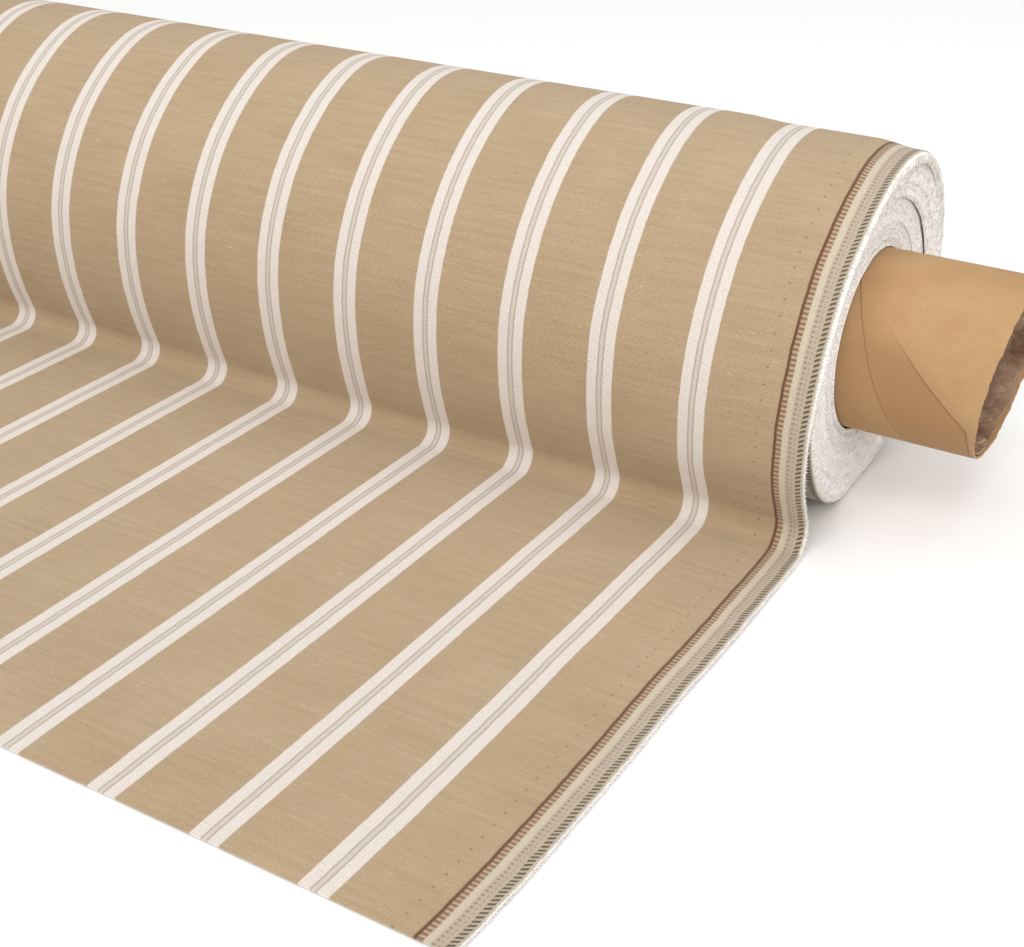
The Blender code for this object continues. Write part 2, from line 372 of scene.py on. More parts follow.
def threadRow(name, edge, radius, seed, material):
    # each thread is a three-sided prism on its own arc, tapering to a point and leaning a little sideways
    root, outward, inward, sideways, length, curl = edge
    chance = np.random.default_rng(seed)
    count = len(root)
    length = length * chance.uniform(1 - fringeLay["lengthSpread"], 1.04, count)
    side = chance.normal(0, fringeLay["sideSpread"], count)
    curl = curl * chance.uniform(0.8, 1.1, count)
    thick = radius * chance.uniform(0.8, 1.15, count)
    turnStart = chance.uniform(0, 2 * np.pi, count)
    s = np.array([0.0, 0.45, 0.8, 1.0])

    def spot(value):
        return (curlSpot(root, outward, inward, length, curl, np.full(count, value))
                + sideways * (side * value**1.5)[:, None])

    middle = np.stack([spot(value) for value in s[:3]], axis=1)
    corner = turnStart[:, None, None] + np.array([0, 2, 4])[None, None, :] * np.pi / 3
    ringRadius = thick[:, None, None] * np.array([1.0, 1.0, 0.75])[None, :, None]
    lean = curl[:, None] * s[None, :3]
    across = (inward[:, None, :] * np.cos(lean)[..., None] - outward[:, None, :] * np.sin(lean)[..., None])
    ring = (middle[:, :, None, :]
            + (np.cos(corner) * ringRadius)[..., None] * across[:, :, None, :]
            + (np.sin(corner) * ringRadius)[..., None] * sideways[:, None, None, :])
    points = np.concatenate([ring.reshape(count, 9, 3), spot(1.0)[:, None, :]], axis=1)
    quads = np.array([[a + b, a + (b + 1) % 3, a + 3 + (b + 1) % 3, a + 3 + b]
                      for a in (0, 3) for b in range(3)])
    ends = np.array([[6, 7, 9], [7, 8, 9], [8, 6, 9], [2, 1, 0]])
    if np.dot(np.cross(inward[0], sideways[0]), outward[0]) < 0:
        quads, ends = quads[:, ::-1], ends[:, ::-1]
    offsets = 10 * np.arange(count)[:, None, None]
    uv = np.stack([np.tile(np.repeat(s, [3, 3, 3, 1]), (count, 1)),
                   np.repeat(chance.uniform(0, 1, count)[:, None], 10, axis=1)], axis=-1)
    return buildPiece(name, material, points.reshape(-1, 3), (quads + offsets).reshape(-1, 4),
                      uv.reshape(-1, 2), (ends + offsets).reshape(-1, 3), sharpAngle=180)


def lipStrip(name, edge, share, along, material):
    # the matted weft ends as one thin closed strip on the same arc
    root, outward, inward, _, length, curl = edge
    s = np.array([0.0, 0.3, 0.55, 0.8, 1.0])[None, :]

    def wide(part):
        return np.repeat(part[:, None], s.shape[1], axis=1)

    lengths, curls = wide(length * share), wide(curl)
    layers = []
    for lift in (0.0, -fringeLay["lipThickness"]):
        start = curlSpot(wide(root), wide(outward), wide(inward), lengths, curls, s + 0 * lengths)
        lean = (curls * s)[..., None]
        layers.append(start + lift * (np.sin(lean) * wide(outward) - np.cos(lean) * wide(inward)))
    uv = np.stack([lengths * s, wide(along)], axis=-1)
    return closedSheet(name, layers[0], layers[1], uv, material)


def threadPlaces(start, stop, pitch, seed):
    # places one pitch apart, each moved by up to 0.3 of it
    places = np.arange(start, stop, pitch)
    return places + np.random.default_rng(seed + 100).uniform(-0.3, 0.3, len(places)) * pitch


def edgeDirections(side, normal):
    # out of the roll's end, towards the axis, and back along the cloth
    zero = np.zeros(len(normal))
    return (np.column_stack([zero + side, zero, zero]), np.column_stack([zero, -normal]),
            np.column_stack([zero, normal[:, 1], -normal[:, 0]]))


def webEdge(stations, side, places):
    # the woven edge at the given arc lengths: its points and directions, the ends' lengths and curls
    way, normal, along, degrees, fromFold = stations
    k = fringeLay

    def at(values):
        return np.interp(places, along, values)

    wayAt = np.column_stack([at(part) for part in way.T])
    normalAt = np.column_stack([at(part) for part in normal.T])
    normalAt /= np.linalg.norm(normalAt, axis=1)[:, None]
    degreesAt, fromFoldAt = at(degrees), at(fromFold)
    root = webPoints(side * (wovenEdge - k["rootIn"]), (wayAt, normalAt, places, degreesAt, fromFoldAt),
                     -k["rootDepth"] * clothLay["thickness"])
    outward, inward, sideways = edgeDirections(side, normalAt)
    onRoll = smoothStep(fromFoldAt, *k["rollTurns"])
    inside = smoothStep(fromFoldAt, *k["innerTurns"])
    curl = onRoll * throughStations(degreesAt, k["curlAngles"], k["curls"])
    curl = curl * (1 - inside) + k["innerCurl"] * inside + 0.02
    slack = throughStations(degreesAt, clothLay["slackAngles"], clothLay["slackDepths"])
    gap = clothLay["looseLayer"] + slack / edgeLay["growingTurns"]
    gap = gap * (1 + k["firstGapExtra"] * (1 - smoothStep(fromFoldAt, *k["firstGapTurns"])))
    coverLength = k["innerBase"] + k["innerPerGap"] * gap
    length = clothLay["fringeLength"] + k["rootIn"] + inside * (coverLength - clothLay["fringeLength"])
    return root, outward, inward, sideways, length, curl


def webFringe(name, stations, side, start, stop, pitch, radius, seed, material):
    # threads along one woven edge of the loose web, from arc length start to stop
    places = np.clip(threadPlaces(start, stop, pitch, seed), start + 0.0002, stop - 0.0002)
    return threadRow(name, webEdge(stations, side, places), radius, seed, material)


def webLip(name, stations, side, start, stop, material):
    # the matted ends along one woven edge of the loose web
    flatShare, rollShare = fringeLay["lipShares"]
    places = np.arange(start + 0.0005, stop, fringeLay["lipPitch"])
    onRoll = smoothStep(np.interp(places, stations[2], stations[4]), *fringeLay["rollTurns"])
    share = (flatShare + rollShare * onRoll) * (1 + 0.05 * wander(places, 0.012, 31))
    return lipStrip(name, webEdge(stations, side, places), share, places, material)


def woundStations(perTurn):
    # a spiral outwards from the tube: radius = first + pitch x turns, as (y, z) about the axis
    k = clothLay
    turns = np.arange(round(k["woundTurns"] * perTurn) + 1) / perTurn
    angle = 2 * np.pi * turns
    radius = k["woundFirstRadius"] + k["woundPitch"] * turns + k["thickness"]
    way = np.column_stack([radius * np.cos(angle), radius * np.sin(angle)])
    normal = np.column_stack([np.cos(angle), np.sin(angle)])
    return way, normal, arcLength(way), turns


def woundDrift(turns):
    # the tight turns' edges wander a little from turn to turn, and less towards the last of them
    k = edgeLay
    calm = 1 - smoothStep(turns, *k["calmTurns"])
    nearTube = k["tubeDrift"] * np.exp(-turns / k["tubeDriftTurns"])
    wandering = k["tightWander"] * wander(turns, 7.0, 21) + k["tightRipple"] * wander(turns, 1.7, 22)
    return k["tightDrift"] + nearTube + calm * wandering


def woundSheet(name, perTurn, columns, material):
    # the tight turns as one closed sheet along the spiral
    way, normal, along, turns = (part[:, None] for part in woundStations(perTurn))
    x = columns[None, :] * (1 - woundDrift(turns) / wovenEdge)
    face, back = (np.stack([x + 0 * along, rollAxis[1] + way[..., 0] + normal[..., 0] * lift + 0 * x,
                            rollAxis[2] + way[..., 1] + normal[..., 1] * lift + 0 * x], axis=-1)
                  for lift in (0.0, -clothLay["thickness"]))
    uv = np.stack([clothHalf - columns[None, :] + 0 * along, along + 0 * x], axis=-1)
    return closedSheet(name, face, back, uv, material)


def woundEdge(side, places):
    # as webEdge, for the tight turns: the curl is as much as the room above the tube allows
    along, turns = woundStations(fringeLay["tightStations"])[2:]
    turnsAt = np.interp(places, along, turns)
    angle = 2 * np.pi * turnsAt
    k = fringeLay
    radiusAt = clothLay["woundFirstRadius"] + clothLay["woundPitch"] * turnsAt
    radiusAt = radiusAt + k["tightRootDepth"] * clothLay["thickness"]
    normalAt = np.column_stack([np.cos(angle), np.sin(angle)])
    outward, inward, onward = edgeDirections(side, normalAt)
    root = np.column_stack([side * (wovenEdge - k["rootIn"] - woundDrift(turnsAt)),
                            rollAxis[1:] + radiusAt[:, None] * normalAt])
    length = np.full(len(places), clothLay["fringeLength"] + k["rootIn"])
    room = radiusAt - k["clearOfTube"] - k["innerRadius"]
    curl = np.clip(1.9 * room / length, 0.02, k["tightCurl"])
    return root, outward, inward, -onward, length, curl


def woundFringe(name, side, pitch, radius, seed, material):
    # threads along one edge of the tight turns
    total = woundStations(fringeLay["tightStations"])[2][-1]
    places = threadPlaces(pitch, total - pitch, pitch, seed)
    return threadRow(name, woundEdge(side, places), radius, seed, material)


def woundLip(name, side, material):
    # the matted ends along one edge of the tight turns
    total = woundStations(fringeLay["tightStations"])[2][-1]
    places = np.arange(0.0005, total, fringeLay["tightLipPitch"])
    share = fringeLay["tightLipShare"] * (1 + 0.04 * wander(places, 0.012, 33))
    return lipStrip(name, woundEdge(side, places), share, places, material)


# the tube
tubeLay = {
    "boreRadius": 0.026,
    # from the bore outwards: piece, part, slot and thickness, then how ragged its ends are, how far back
    # they lie and how far they fray inward
    "plies": (("tubeLiner", "tube_liner_ply", "liner_paper", 0.0005, 0.0011, 0.0055, 0.0011),
              ("tubeInnerCore", "tube_inner_core_ply", "core_board", 0.0009, 0.0011, 0.0030, 0.0007),
              ("tubeOuterCore", "tube_outer_core_ply", "core_board", 0.0009, 0.0004, 0.0009, 0.0002),
              ("tubeFace", "tube_face_ply", "kraft_paper", 0.0008, 0.00016, 0.0, 0.0001)),
    "glueGap": 0.0003,
    "obliqueCut": 0.0039,  # how far the cut at the near end leans from top to bottom
    "farCutLean": 0.0009,
    "cutShift": -0.0005,
    "ragWaves": (5, 13, 29, 47, 71),  # waves round the cut, each weaker than the one before
    "frayWaves": ((9, 0.7), (23, 2.1), (41, 4.0)),
    "frayReach": 0.004,
    "wallFlaw": 0.00007,
    "rimDraw": 0.00008,  # the outside draws in this much at the cut
    "endSteps": (0.0, 0.25, 0.6, 1.1, 1.8, 2.8, 4.2, 6, 9, 13, 19, 28, 40),  # millimetres from a cut
}


def tubeSleeve(name, innerRadius, outerRadius, rag, recess, inwardFray, seed, material, around=240):
    # one ply: a ring section carried round the axis, its ends aslant and ragged, its walls a little
    # uneven and frayed inward near the ends
    k = tubeLay
    angle = np.linspace(0, 2 * np.pi, around, endpoint=False)
    steps = np.array(k["endSteps"]) / 1000
    right = tubeHalf + k["cutShift"] + k["obliqueCut"] * np.sin(angle) - recess
    left = -tubeHalf - 0.4 * k["cutShift"] + k["farCutLean"] * np.sin(angle + 1.1) + recess
    chance = np.random.default_rng(seed)

    def ragged():
        return sum(rag / (1 + 0.5 * n) * np.sin(order * angle + phase)
                   for n, (order, phase) in enumerate(zip(k["ragWaves"], chance.uniform(0, 6.28, 5))))

    right = right + ragged() - rag * 0.5
    left = left + ragged() + rag * 0.5
    middle = np.linspace(-tubeHalf + 0.06, tubeHalf - 0.06, 22)
    x = np.concatenate([left[:, None] + steps, np.tile(middle, (around, 1)),
                        right[:, None] - steps[::-1]], axis=1)
    fromEnd = np.minimum(x - left[:, None], right[:, None] - x)
    nearEnd = np.exp(-fromEnd / k["frayReach"])
    flaw = (np.sin(3 * angle + 1)[:, None] * np.cos(x * 31) + np.sin(7 * angle + 2)[:, None] * np.sin(x * 53))
    fray = sum(np.maximum(np.sin(order * angle[:, None] + phase + 2 * x / 0.03), 0)
               for order, phase in k["frayWaves"]) / len(k["frayWaves"])
    outer = outerRadius + k["wallFlaw"] * flaw - k["rimDraw"] * nearEnd
    inner = innerRadius + k["wallFlaw"] * flaw - inwardFray * nearEnd * fray
    radius = np.concatenate([outer, inner[:, ::-1]], axis=1)
    xs = np.concatenate([x, x[:, ::-1]], axis=1)
    columns = radius.shape[1]
    cosine = np.tile(np.cos(angle)[:, None], (1, columns))
    sine = np.tile(np.sin(angle)[:, None], (1, columns))
    points = np.stack([xs, rollAxis[1] + radius * cosine, rollAxis[2] + radius * sine], axis=-1)
    points = points.reshape(-1, 3)
    quads = facingOut(points, gridQuads(around, columns, closed=True))
    uv = np.stack([np.tile(np.abs(angle / np.pi - 1)[:, None], (1, columns)), xs], axis=-1)
    piece = buildPiece(name, material, points, quads, uv.reshape(-1, 2), sharpAngle=50)
    turn = piece.data.attributes.new("aroundTube", "FLOAT_VECTOR", "POINT")
    turn.data.foreach_set("vector", np.stack([xs, cosine, sine], axis=-1).astype(np.float32).ravel())
    return piece


def newMaterial(name):
    material = bpy.data.materials.new(name)
    material.use_nodes = True
    tree = material.node_tree
    return material, tree, tree.nodes["Principled BSDF"]


def feed(socket, value):
    # link another node's output, or set a number or a colour
    if isinstance(value, bpy.types.NodeSocket):
        socket.id_data.links.new(value, socket)
    else:
        socket.default_value = (*value, 1) if isinstance(value, tuple) else value


def calc(operation, *values):
    # one step of arithmetic on sockets or plain numbers
    tree = next(value.id_data for value in values if isinstance(value, bpy.types.NodeSocket))
    node = tree.nodes.new("ShaderNodeMath")
    node.operation = operation
    for socket, value in zip(node.inputs, values):
        feed(socket, value)
    return node.outputs[0]


def times(first, second):
    return calc("MULTIPLY", first, second)


def scaled(value, factor, added):
    return calc("MULTIPLY_ADD", value, factor, added)


def less(first, second):
    return calc("SUBTRACT", first, second)


def wave(value, pitch):
    return calc("SINE", times(value, 2 * math.pi / pitch))


def ramp(value, low, high, start=0.0, end=1.0):
    # start below low, end above high, smooth between
    node = value.id_data.nodes.new("ShaderNodeMapRange")
    node.interpolation_type = "SMOOTHSTEP"
    names = ("Value", "From Min", "From Max", "To Min", "To Max")
    for name, number in zip(names, (value, low, high, start, end)):
        feed(node.inputs[name], number)
    return node.outputs[0]


def fall(value, low, high):
    return ramp(value, low, high, 1.0, 0.0)


def band(value, low, high, soft):
    # 1 between low and high, with soft edges
    return times(ramp(value, low - soft, low + soft), fall(value, high - soft, high + soft))


def paint(share, first, second):
    # a colour between the first and the second, by share
    node = share.id_data.nodes.new("ShaderNodeMix")
    node.data_type = "RGBA"
    for place, value in ((0, share), (6, first), (7, second)):
        feed(node.inputs[place], value)
    return node.outputs[2]


def grain(*place, detail=2.0, roughness=0.5):
    # noise from 0 to 1 at two or three coordinates, the first of them a socket and its factor
    tree = place[0][0].id_data
    spot = tree.nodes.new("ShaderNodeCombineXYZ")
    for socket, value in zip(spot.inputs, place):
        feed(socket, times(*value) if isinstance(value, tuple) else value)
    node = tree.nodes.new("ShaderNodeTexNoise")
    feed(node.inputs["Vector"], spot.outputs[0])
    for name, value in (("Scale", 1.0), ("Detail", detail), ("Roughness", roughness)):
        node.inputs[name].default_value = value
    return node.outputs[0]


def split(vector):
    node = vector.id_data.nodes.new("ShaderNodeSeparateXYZ")
    feed(node.inputs[0], vector)
    return node.outputs


def layPlace(tree):
    # the piece's own uv: across and along the cloth, or along and among the ends
    lay = tree.nodes.new("ShaderNodeUVMap")
    lay.uv_map = "lay"
    return split(lay.outputs[0])[:2]


def dress(shader, colour, roughness, height, distance, constants):
    # colour, roughness and bump from nodes; constants straight on the shader
    bump = shader.id_data.nodes.new("ShaderNodeBump")
    bump.inputs["Distance"].default_value = distance
    feed(bump.inputs["Height"], height)
    for name, output in (("Base Color", colour), ("Roughness", roughness), ("Normal", bump.outputs[0])):
        feed(shader.inputs[name], output)
    for name, value in constants.items():
        shader.inputs[name].default_value = value


cottonLook = {
    "ground": (0.5, 0.372, 0.236),
    "groundDeep": (0.395, 0.277, 0.16),
    "slub": (0.64, 0.53, 0.37),
    "white": (0.775, 0.7, 0.64),
    "whiteDeep": (0.6, 0.52, 0.46),
    "stripeLine": (0.4, 0.345, 0.295),
    "stripeHeart": (0.64, 0.56, 0.49),
    "stripeRim": (0.4, 0.31, 0.25),
    "stripePitch": 34.31,  # millimetres, as are all the lengths below
    "firstStripe": 41.1,
    "stripesFrom": (25.0, 26.0),
    "stripeHalf": 4.75,
    "heartHalf": 1.15,
    "ribPitch": 0.57,
    "warpPitch": 0.42,
    # pinholes beside the selvedge, then its bands and where each ends, from the tips of the weft ends
    "pins": (17.6, 18.3),
    "pinSpacing": 2.6,
    "pin": (0.17, 0.1, 0.05),
    "redLineEnd": (11.95, 12.35),
    "redLine": (0.155, 0.07, 0.034),
    "tickEnd": (11.0, 11.4),
    "tickPitch": 1.58,
    "brownTick": (0.26, 0.155, 0.088),
    "betweenTicks": (0.48, 0.35, 0.235),
    "creamEnd": (9.15, 9.65),
    "cream": (0.6, 0.515, 0.395),
    "pinkEnd": (7.2, 7.7),
    "pinkWhite": (0.5, 0.405, 0.312),
    "outerDots": (6.15, 6.95),
    "innerDots": (4.95, 5.5),
    "greyDot": (0.31, 0.245, 0.185),
    "hatchEnd": (3.75, 4.15),
    "hatchPale": (0.46, 0.385, 0.285),
    "olive": (0.14, 0.1, 0.06),
    "rimEnd": (2.0, 2.3),
    "rim": (0.52, 0.455, 0.36),
    "cordPitch": 1.1,
    "relief": 0.00016,  # metres
}


def makeStripedCotton(name):
    k = cottonLook
    material, tree, shader = newMaterial(name)
    u, v = layPlace(tree)
    vMm = times(v, 1000.0)
    uMm = times(u, 1000.0)
    wobble = less(grain((uMm, 0.02), (vMm, 0.16)), 0.5)
    across = calc("ADD", uMm, times(wobble, 0.5))
    fromEdge = calc("MINIMUM", across, less(2000.0 * clothHalf, across))

    rib = scaled(wave(vMm, k["ribPitch"]), 0.5, 0.5)
    odd = calc("FLOOR", times(vMm, 1 / k["ribPitch"]))
    warp = calc("SINE", scaled(uMm, 2 * math.pi / k["warpPitch"], times(odd, math.pi)))
    warp = scaled(warp, 0.5, 0.5)
    weave = scaled(warp, 0.22, times(rib, 0.78))
    bars = grain((uMm, 0.03), (vMm, 0.55), 3.0, detail=3.0, roughness=0.65)
    fibre = grain((uMm, 0.7), (vMm, 2.2), 5.0)
    cloud = grain((uMm, 0.03), (vMm, 0.035), 9.0, detail=3.0)
    slubs = ramp(grain((uMm, 0.22), (vMm, 0.75), 14.0, detail=0.0), 0.77, 0.83)

    depth = scaled(bars, 0.9, times(fibre, 0.5))
    depth = scaled(cloud, 0.5, depth)
    depth = scaled(weave, -0.35, depth)
    depth = ramp(depth, 0.35, 1.25)
    ground = paint(depth, k["ground"], k["groundDeep"])
    ground = paint(times(slubs, 0.28), ground, k["slub"])

    # the stripes: white with a darker heart between two grey lines, their sides jagged by the ribs
    jag = times(less(rib, 0.5), 0.16)
    fromStripe = calc("PINGPONG", less(fromEdge, k["firstStripe"]), k["stripePitch"] / 2)
    fromStripe = calc("ADD", fromStripe, jag)
    striped = ramp(fromEdge, *k["stripesFrom"])
    inStripe = times(fall(fromStripe, k["stripeHalf"] - 0.18, k["stripeHalf"] + 0.18), striped)
    line = band(fromStripe, 0.62, k["heartHalf"], 0.14)
    stripe = paint(times(less(1.0, weave), 0.22), k["white"], k["whiteDeep"])
    stripe = paint(fall(fromStripe, 0.6, 0.8), stripe, k["stripeHeart"])
    stripe = paint(times(line, 0.85), stripe, k["stripeLine"])
    colour = paint(inStripe, ground, stripe)
    rim = times(band(fromStripe, k["stripeHalf"] + 0.1, k["stripeHalf"] + 0.7, 0.2), striped)
    colour = paint(times(rim, 0.15), colour, k["stripeRim"])

    # the selvedge, from the inside out
    tick = wave(vMm, k["tickPitch"])
    hatch = wave(scaled(fromEdge, 0.55, vMm), k["tickPitch"])
    dots = ramp(tick, -0.1, 0.35)
    pins = times(band(fromEdge, *k["pins"], 0.15),
                 fall(calc("PINGPONG", vMm, k["pinSpacing"]), 0.25, 0.45))
    for share, tone in (
        (times(pins, 0.55), k["pin"]),
        (fall(fromEdge, *k["redLineEnd"]), k["redLine"]),
        (fall(fromEdge, *k["tickEnd"]),
         paint(ramp(tick, -0.6, 0.4), k["betweenTicks"], k["brownTick"])),
        (fall(fromEdge, *k["creamEnd"]), k["cream"]),
        (fall(fromEdge, *k["pinkEnd"]), k["pinkWhite"]),
        (times(band(fromEdge, *k["outerDots"], 0.2), dots), k["greyDot"]),
        (times(band(fromEdge, *k["innerDots"], 0.15), times(dots, 0.6)), k["greyDot"]),
        (fall(fromEdge, *k["hatchEnd"]),
         paint(ramp(hatch, -0.45, 0.35), k["hatchPale"], k["olive"])),
        (fall(fromEdge, *k["rimEnd"]), k["rim"]),
    ):
        colour = paint(share, colour, tone)

    selvedge = fall(fromEdge, 12.3, 12.8)
    cords = scaled(times(wave(fromEdge, k["cordPitch"]), tick), 0.4, 0.5)
    height = scaled(bars, 0.5, weave)
    height = scaled(fibre, 0.35, height)
    height = scaled(slubs, 0.5, height)
    height = scaled(selvedge, cords, height)
    dress(shader, colour, ramp(depth, 0.0, 1.0, 0.82, 0.95), height, k["relief"],
          {"Sheen Weight": 0.12, "Sheen Roughness": 0.5, "Specular IOR Level": 0.25})
    return material


weftLook = {
    "root": (0.56, 0.49, 0.39),  # the free end's weft ends are darker where they leave the cloth
    # the roll's end face: the weft ends' own white, set lighter than the free end's to paint light into the
    # shade of the hollow end
    "ends": ((0.91, 0.88, 0.855), (0.86, 0.82, 0.79)),
    "matted": ((0.91, 0.88, 0.855), (0.85, 0.81, 0.78)),
    "freeEnds": ((0.86, 0.83, 0.8), (0.78, 0.74, 0.69)),
    "freeMatted": ((0.86, 0.83, 0.8), (0.8, 0.76, 0.72)),
    "surface": {"Sheen Weight": 0.2, "Specular IOR Level": 0.2},
}


def makeWeftEnds(name, tone, deep, rooted):
    material, tree, shader = newMaterial(name)
    reach, which = layPlace(tree)
    fuzz = grain((reach, 9.0), (which, 37.0))
    colour = paint(scaled(which, 0.5, times(fuzz, 0.5)), tone, deep)
    if rooted:
        colour = paint(ramp(reach, 0.2, 0.65, 0.8, 0.0), colour, weftLook["root"])
    dress(shader, colour, ramp(fuzz, 0.2, 0.8, 0.85, 0.98), fuzz, 0.0001, weftLook["surface"])
    return material


def makeMattedEnds(name, tone, deep, rooted):
    # weft ends lying close together: fine lines across the lip, soft clouding
    material, tree, shader = newMaterial(name)
    reach, run = layPlace(tree)
    lines = grain((reach, 300.0), (run, 2100.0))
    cloud = grain((reach, 60.0), (run, 60.0), 4.0, detail=3.0)
    share = scaled(lines, 0.5, times(cloud, 0.5))
    colour = paint(ramp(share, 0.3, 0.7), tone, deep)
    if rooted:
        colour = paint(ramp(reach, 0.0003, 0.0009, 0.8, 0.0), colour, weftLook["root"])
    dress(shader, colour, ramp(lines, 0.2, 0.8, 0.86, 0.98), lines, 0.00012, weftLook["surface"])
    return material


boardLook = {
    "kraft": (0.455, 0.28, 0.132),
    "kraftDeep": (0.385, 0.218, 0.096),
    "kraftPale": (0.53, 0.355, 0.19),
    "kraftShade": (0.33, 0.18, 0.078),
    # the seam's dark line, also used for the crease's painted shade line
    "seamAndCreaseShade": (0.17, 0.085, 0.038),
    "core": (0.43, 0.29, 0.19),
    "coreDeep": (0.18, 0.092, 0.05),
    "liner": (0.53, 0.375, 0.265),
    "linerDeep": (0.27, 0.155, 0.095),
    "seamPitch": 74,  # millimetres along the tube per turn of the face paper
    "seamPlace": (160, -35.5),  # an angle and the seam's place there, millimetres from the near end
    "creasePlace": (179.5, -12.3),
    "creaseSlope": 0.53,  # millimetres per degree
    "creaseNearest": -0.9,
    "creaseAngles": (138.0, 168.0, 236.0, 262.0),
    "relief": 0.0002,
}


def seamOf(degrees, slope, place):
    # millimetres from the near end at which a line round the tube lies
    return scaled(degrees, slope, place[1] - place[0] * slope)


def addSeamAndCreaseShade(ring, coarse, colour, height):
    # one helical seam in the face paper, and painted shade for a crease near the cut, which the tube's mesh
    # does not have: a dark painted line at the crease, painted shade beyond it, and a lighter painted shade
    # before the pale part
    k = boardLook
    x, cosine, sine = ring
    angle = calc("ARCTAN2", sine, cosine)
    degrees = calc("WRAP", times(angle, 180 / math.pi), 360.0, 0.0)
    xMm = scaled(x, 1000.0, -729.0)
    shake = less(coarse, 0.5)
    half = k["seamPitch"] / 2
    off = less(xMm, seamOf(degrees, k["seamPitch"] / 360, k["seamPlace"]))
    off = scaled(shake, 1.2, calc("WRAP", off, half, -half))
    colour = paint(times(band(off, -0.14, 0.14, 0.16), 0.5), colour, k["seamAndCreaseShade"])
    height = scaled(ramp(off, -0.35, 0.35), 1.0, height)
    creaseX = seamOf(degrees, k["creaseSlope"], k["creasePlace"])
    past = less(xMm, calc("SMOOTH_MIN", creaseX, k["creaseNearest"], 3.0))
    past = scaled(shake, 1.6, past)
    # the crumpled end near the cut, where the crease's painted shade goes
    nearCut = times(ramp(degrees, *k["creaseAngles"][:2]), fall(degrees, *k["creaseAngles"][2:]))
    nearCut = times(nearCut, ramp(xMm, -60.0, -46.0))
    # painted shade beyond the crease, and a lighter painted shade before the pale part
    shadeBeyondCrease = times(fall(past, -0.5, 0.5), ramp(off, -4.0, 4.0, 0.35, 1.0))
    creaseShade = scaled(shadeBeyondCrease, 0.55, times(fall(past, 1.5, 9.0), 0.3))
    colour = paint(times(creaseShade, nearCut), colour, k["kraftShade"])
    # a dark line of painted shade along the crease
    creaseShadeLine = times(band(past, -0.25, 0.25, 0.25), nearCut)
    creaseShadeLine = times(creaseShadeLine, ramp(degrees, 160.0, 178.0, 0.2, 0.6))
    colour = paint(creaseShadeLine, colour, k["seamAndCreaseShade"])
    return colour, scaled(times(ramp(past, -0.8, 0.8), nearCut), 1.2, height)


def makeBoard(name, tone, deep, pale, spread=1.0, seams=False):
    # paper board: long fibres along the strip, mottling and flecks
    material, tree, shader = newMaterial(name)
    place = tree.nodes.new("ShaderNodeAttribute")
    place.attribute_name = "aroundTube"
    ring = split(place.outputs["Vector"])

    def board(along, across, **look):
        return grain((ring[0], along), (ring[1], across), (ring[2], across), **look)

    coarse = board(55.0, 1.7, detail=4.0, roughness=0.6)
    fibre = board(420.0, 26.0, detail=3.0, roughness=0.6)
    fleck = board(260.0, 8.0, detail=0.0)
    colour = paint(times(ramp(coarse, 0.32, 0.68), spread), tone, deep)
    colour = paint(times(ramp(fibre, 0.5, 0.75), 0.35), colour, pale)
    colour = paint(times(ramp(fleck, 0.76, 0.80), 0.45), colour, deep)
    height = scaled(fibre, 0.6, times(coarse, 0.4))
    if seams:
        colour, height = addSeamAndCreaseShade(ring, coarse, colour, height)
    dress(shader, colour, ramp(fibre, 0.2, 0.8, 0.62, 0.85), height, boardLook["relief"],
          {"Specular IOR Level": 0.35})
    return material


tapeLook = {
    "tone": (0.72, 0.62, 0.42),
    "toneDeep": (0.6, 0.5, 0.31),
    "crepePitch": 0.0011,
    "relief": 0.00006,
}


def makePaperTape(name):
    material, tree, shader = newMaterial(name)
    x, y, z = split(tree.nodes.new("ShaderNodeTexCoord").outputs["Object"])
    fibre = grain((x, 90.0), (y, 900.0), (z, 900.0), detail=3.0)
    crepe = wave(x, tapeLook["crepePitch"])
    dress(shader, paint(fibre, tapeLook["tone"], tapeLook["toneDeep"]),
          ramp(fibre, 0.2, 0.8, 0.45, 0.62), scaled(crepe, 0.5, fibre), tapeLook["relief"], {})
    return material


cotton = makeStripedCotton("stripedCotton")
# the end face's weft ends: their own white plus painted light over the shade in the roll's hollow end; the
# free end's copies below carry no such lift
paintedLightWeftEnds = makeWeftEnds("whiteWeftEndsPaintedLight", *weftLook["ends"], rooted=False)
paintedLightMattedEnds = makeMattedEnds("mattedWeftEndsPaintedLight", *weftLook["matted"], rooted=False)
freeWeftEnds = makeWeftEnds("freeWeftEnds", *weftLook["freeEnds"], rooted=True)
freeMattedEnds = makeMattedEnds("freeMattedWeftEnds", *weftLook["freeMatted"], rooted=True)
papers = {
    "kraft_paper": makeBoard("kraftFace", boardLook["kraft"], boardLook["kraftDeep"], boardLook["kraftPale"],
                             spread=0.55, seams=True),
    "core_board": makeBoard("greyBoard", boardLook["core"], boardLook["coreDeep"], boardLook["liner"]),
    "liner_paper": makeBoard("boreLiner", boardLook["liner"], boardLook["linerDeep"], boardLook["kraftDeep"]),
}
print("stage 2: materials")

meshLay = {
    "looseStations": (192, 30, 90),  # per slack turn, on the arc of the fold, on the flat part
    "outerTurns": 1.35,  # the free end's piece stops after this many turns
    "innerSkip": 4,  # the slack turns inside it keep every fourth station
    "tightStations": 48,
    # the widest column and the places of columns near an edge in millimetres
    "freeColumns": (0.03, (0, 0.8, 2, 3.5, 5.5, 8, 11, 15, 22, 32, 44, 49, 54, 59, 64, 76)),
    "innerColumns": (0.12, (0, 3, 8, 15, 30, 46, 54, 62, 90)),
    "tightColumns": (0.35, (0, 8)),
}

